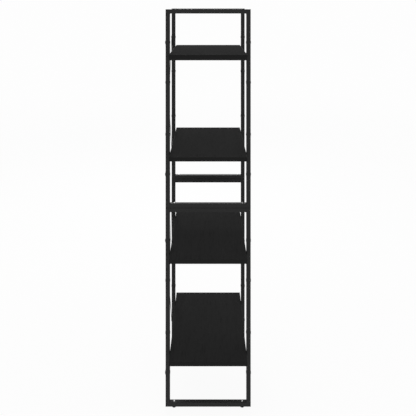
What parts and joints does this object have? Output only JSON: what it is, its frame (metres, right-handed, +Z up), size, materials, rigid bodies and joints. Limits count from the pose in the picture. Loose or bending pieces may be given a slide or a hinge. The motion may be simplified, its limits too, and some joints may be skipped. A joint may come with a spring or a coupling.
{
  "type": "bookcase",
  "caption": "Narrow open bookcase with stacked black steel tube end frames, dark shelf boards that overhang both ends, crossed back braces and screw-adjustable feet.",
  "frame": {"origin": "on the floor, under the middle of the four boards", "axes": "+X along the boards, +Y from the front to the braced back, +Z up"},
  "size_m": [0.4, 0.303, 1.403],
  "materials": {
    "black_frame": "satin black powder coat",
    "dark_board": "black melamine on engineered wood",
    "dark_edge": "black edge band",
    "black_plug": "black moulded plastic",
    "black_fastener": "black coated steel",
    "bright_steel": "zinc plated steel",
    "black_pad": "black moulded plastic"
  },
  "bodies": {
    "bookcase": {"bottom_shelf_board": "dark_board", "bottom_shelf_edge_bands": "dark_edge", "brace_bolts": "black_fastener", "brace_sleeve_nuts": "black_fastener", "hole_plugs": "black_plug", "lower_inner_brace": "black_frame", "lower_left_back_upright": "black_frame", "lower_left_bottom_rail": "black_frame", "lower_left_front_upright": "black_frame", "lower_left_high_shelf_rail": "black_frame", "lower_left_low_shelf_rail": "black_frame", "lower_left_top_rail": "black_frame", "lower_outer_brace": "black_frame", "lower_right_back_upright": "black_frame", "lower_right_bottom_rail": "black_frame", "lower_right_front_upright": "black_frame", "lower_right_high_shelf_rail": "black_frame", "lower_right_low_shelf_rail": "black_frame", "lower_right_top_rail": "black_frame", "rail_rivet_nuts": "bright_steel", "second_shelf_board": "dark_board", "second_shelf_edge_bands": "dark_edge", "shelf_screws": "black_fastener", "stacking_bolts": "bright_steel", "third_shelf_board": "dark_board", "third_shelf_edge_bands": "dark_edge", "top_shelf_board": "dark_board", "top_shelf_edge_bands": "dark_edge", "upper_inner_brace": "black_frame", "upper_left_back_upright": "black_frame", "upper_left_bottom_rail": "black_frame", "upper_left_front_upright": "black_frame", "upper_left_high_shelf_rail": "black_frame", "upper_left_low_shelf_rail": "black_frame", "upper_left_top_rail": "black_frame", "upper_outer_brace": "black_frame", "upper_right_back_upright": "black_frame", "upper_right_bottom_rail": "black_frame", "upper_right_front_upright": "black_frame", "upper_right_high_shelf_rail": "black_frame", "upper_right_low_shelf_rail": "black_frame", "upper_right_top_rail": "black_frame"},
    "front_left_foot": {"front_left_foot_pad": "black_pad", "front_left_foot_stud": "bright_steel"},
    "front_right_foot": {"front_right_foot_pad": "black_pad", "front_right_foot_stud": "bright_steel"},
    "back_left_foot": {"back_left_foot_pad": "black_pad", "back_left_foot_stud": "bright_steel"},
    "back_right_foot": {"back_right_foot_pad": "black_pad", "back_right_foot_stud": "bright_steel"}
  },
  "joints": [
    {"name": "front_left_foot_screw", "type": "slide", "parent": "bookcase", "child": "front_left_foot", "axis": [0, 0, -1], "range_m": [0, 0.008]},
    {"name": "front_right_foot_screw", "type": "slide", "parent": "bookcase", "child": "front_right_foot", "axis": [0, 0, -1], "range_m": [0, 0.008]},
    {"name": "back_left_foot_screw", "type": "slide", "parent": "bookcase", "child": "back_left_foot", "axis": [0, 0, -1], "range_m": [0, 0.008]},
    {"name": "back_right_foot_screw", "type": "slide", "parent": "bookcase", "child": "back_right_foot", "axis": [0, 0, -1], "range_m": [0, 0.008]}
  ]
}
